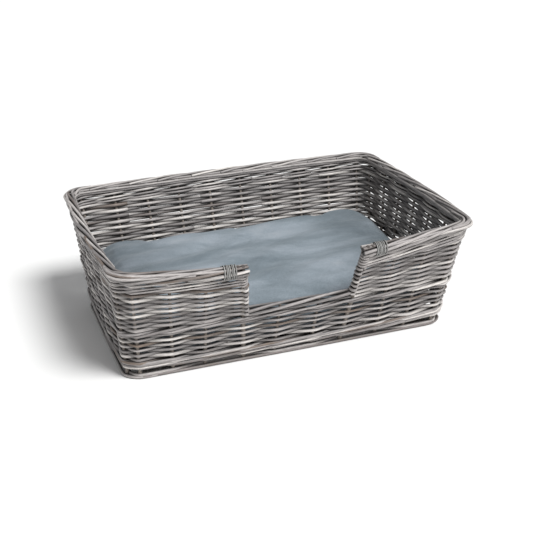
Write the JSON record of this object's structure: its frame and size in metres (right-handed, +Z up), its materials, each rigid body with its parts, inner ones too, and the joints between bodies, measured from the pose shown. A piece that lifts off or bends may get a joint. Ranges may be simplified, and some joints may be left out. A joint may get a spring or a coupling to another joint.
{
  "type": "pet bed basket",
  "caption": "Rectangular woven willow pet bed with flared walls, rolled border, lowered front entrance and a loose plush cushion",
  "frame": {"origin": "centre of the footprint on the floor", "axes": "+X along the length, -Y out of the entrance, +Z up"},
  "size_m": [0.81, 0.5702, 0.271],
  "materials": {
    "willow": "grey washed",
    "plush": "short pile",
    "filling": "loose fibre"
  },
  "bodies": {
    "basket": {"base_edge_stick_back": "willow", "base_edge_stick_front": "willow", "base_sticks": "willow", "base_weave": "willow", "binding_left": "willow", "binding_right": "willow", "border_back": "willow", "border_front_left": "willow", "border_front_right": "willow", "border_left": "willow", "border_right": "willow", "bottom_wale": "willow", "corner_stakes_back_left": "willow", "corner_stakes_back_right": "willow", "corner_stakes_front_left": "willow", "corner_stakes_front_right": "willow", "entrance_border": "willow", "entrance_post_left": "willow", "entrance_post_right": "willow", "foot_rim": "willow", "lower_weave": "willow", "middle_wale": "willow", "stakes_back": "willow", "stakes_entrance": "willow", "stakes_front_left": "willow", "stakes_front_right": "willow", "stakes_left": "willow", "stakes_right": "willow", "top_wale": "willow", "upper_weave": "willow"},
    "cushion": {"cushion_bottom_panel": "plush", "cushion_filling": "filling", "cushion_top_panel": "plush"}
  },
  "joints": [
    {"name": "cushion_lift", "type": "slide", "parent": "basket", "child": "cushion", "axis": [0, 0, 1], "range_m": [0, 0.3]}
  ]
}
